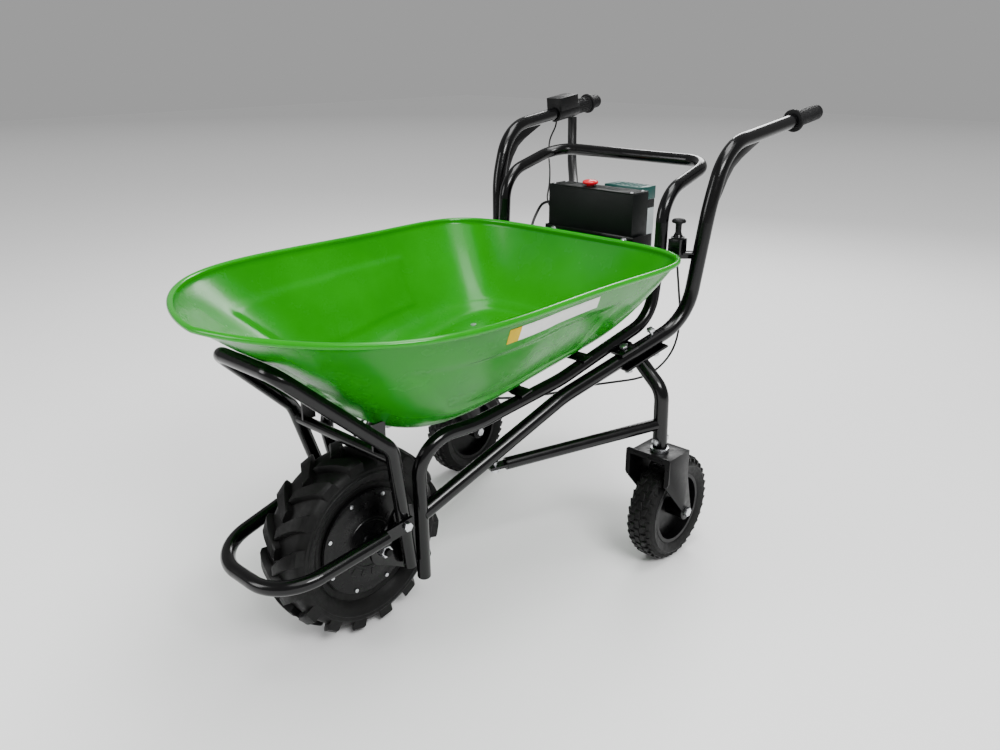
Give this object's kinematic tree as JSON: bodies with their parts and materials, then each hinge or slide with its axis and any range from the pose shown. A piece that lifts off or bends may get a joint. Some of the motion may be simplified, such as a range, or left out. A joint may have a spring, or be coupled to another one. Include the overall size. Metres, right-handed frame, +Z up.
{
  "type": "power wheelbarrow",
  "caption": "Hub-motor wheelbarrow: steel tub on a bent-tube frame, lugged drive wheel with guard hoop in front, swivel casters behind, raised handles, control box and lift-out battery.",
  "frame": {"origin": "on the ground, midway along the length and the width", "axes": "+X forward past the drive wheel, +Y to the driver's left, +Z up"},
  "size_m": [1.4919, 0.766, 0.9898],
  "materials": {
    "frame_paint": "gloss black powder coat",
    "tub_paint": "gloss bright green",
    "zinc": "bright zinc plate",
    "dark_steel": "satin black",
    "copper": "varnished copper windings",
    "tyre_rubber": "matt tyre rubber",
    "cast_cover": "satin black die casting",
    "rubber": "matt soft rubber",
    "cable_jacket": "smooth black jacket",
    "box_plastic": "satin near-black plastic",
    "battery_grey": "light grey moulding",
    "battery_teal": "dark teal moulding",
    "red_plastic": "gloss red",
    "circuit": "green laminate",
    "black_plastic": "fine textured black moulding"
  },
  "bodies": {
    "frame": {"handle_tube_left": "frame_paint", "handle_tube_right": "frame_paint", "rail_left": "frame_paint", "rail_right": "frame_paint", "rear_hoop": "frame_paint", "front_support": "frame_paint", "fork_bridge": "frame_paint", "dropout_left": "frame_paint", "dropout_right": "frame_paint", "guard_hoop": "frame_paint", "caster_leg_left": "frame_paint", "caster_leg_right": "frame_paint", "leg_brace_left": "frame_paint", "leg_brace_right": "frame_paint", "gusset_left": "frame_paint", "gusset_right": "frame_paint", "joint_plates": "frame_paint", "tub": "tub_paint", "tub_straps": "frame_paint", "tub_bolts": "zinc", "frame_bolts": "zinc", "axle_nuts": "zinc", "motor_axle": "dark_steel", "stator": "copper", "brake_plate": "cast_cover", "caster_stem_left": "zinc", "caster_stem_right": "zinc", "box_bracket": "frame_paint", "control_box": "box_plastic", "control_lid": "box_plastic", "control_board": "circuit", "grip_left": "rubber", "grip_right": "rubber", "throttle_housing": "black_plastic", "knob_bracket": "frame_paint", "brake_cable": "cable_jacket", "throttle_cable": "cable_jacket", "motor_cable": "cable_jacket", "harness_sleeve": "cable_jacket"},
    "drive_wheel": {"drive_tyre": "tyre_rubber", "drive_rim": "dark_steel", "motor_cover_left": "cast_cover", "motor_cover_right": "cast_cover", "cover_screws": "zinc", "magnet_ring": "dark_steel", "motor_bearings": "dark_steel"},
    "caster_left": {"caster_fork_left": "dark_steel", "caster_axle_left": "zinc"},
    "caster_right": {"caster_fork_right": "dark_steel", "caster_axle_right": "zinc"},
    "caster_wheel_left": {"caster_rim_left": "dark_steel", "caster_tyre_left": "tyre_rubber"},
    "caster_wheel_right": {"caster_rim_right": "dark_steel", "caster_tyre_right": "tyre_rubber"},
    "battery": {"battery_case": "battery_grey", "battery_lid": "battery_teal"},
    "stop_button": {"red_button": "red_plastic"},
    "brake_pull": {"brake_knob": "black_plastic"},
    "throttle": {"throttle_grip": "rubber"},
    "drum_arm": {"brake_arm": "dark_steel"}
  },
  "joints": [
    {"name": "drive_wheel_spin", "type": "hinge", "parent": "frame", "child": "drive_wheel", "pos_m": [0.447, 0, 0.195], "axis": [0, 1, 0], "continuous": true},
    {"name": "caster_left_swivel", "type": "hinge", "parent": "frame", "child": "caster_left", "pos_m": [-0.148, 0.326, 0.276], "axis": [0, 0, 1], "continuous": true},
    {"name": "caster_right_swivel", "type": "hinge", "parent": "frame", "child": "caster_right", "pos_m": [-0.148, -0.326, 0.276], "axis": [0, 0, 1], "continuous": true},
    {"name": "caster_left_spin", "type": "hinge", "parent": "caster_left", "child": "caster_wheel_left", "pos_m": [-0.198, 0.326, 0.125], "axis": [0, 1, 0], "continuous": true},
    {"name": "caster_right_spin", "type": "hinge", "parent": "caster_right", "child": "caster_wheel_right", "pos_m": [-0.198, -0.326, 0.125], "axis": [0, 1, 0], "continuous": true},
    {"name": "battery_lift", "type": "slide", "parent": "frame", "child": "battery", "axis": [0, 0, 1], "range_m": [0, 0.2]},
    {"name": "stop_button_press", "type": "slide", "parent": "frame", "child": "stop_button", "axis": [0, 0, -1], "range_m": [0, 0.004], "stiffness_N_per_m": 900, "springref_m": -0.001},
    {"name": "brake_knob_pull", "type": "slide", "parent": "frame", "child": "brake_pull", "axis": [0, 0, 1], "range_m": [0, 0.018]},
    {"name": "brake_arm_swing", "type": "hinge", "parent": "frame", "child": "drum_arm", "pos_m": [0.413, -0.066, 0.225], "axis": [0, 1, 0], "range_deg": [0, 21]},
    {"name": "throttle_twist", "type": "hinge", "parent": "frame", "child": "throttle", "pos_m": [-0.63762, -0.32427, 0.95168], "axis": [-0.9912, -0.0358, 0.1277], "range_deg": [0, 60], "stiffness_Nm_per_rad": 0.15, "springref_deg": -5.73}
  ],
  "couplings": [
    {"joint": "brake_arm_swing", "follows": "brake_knob_pull", "rad_per_m": 19.6}
  ]
}
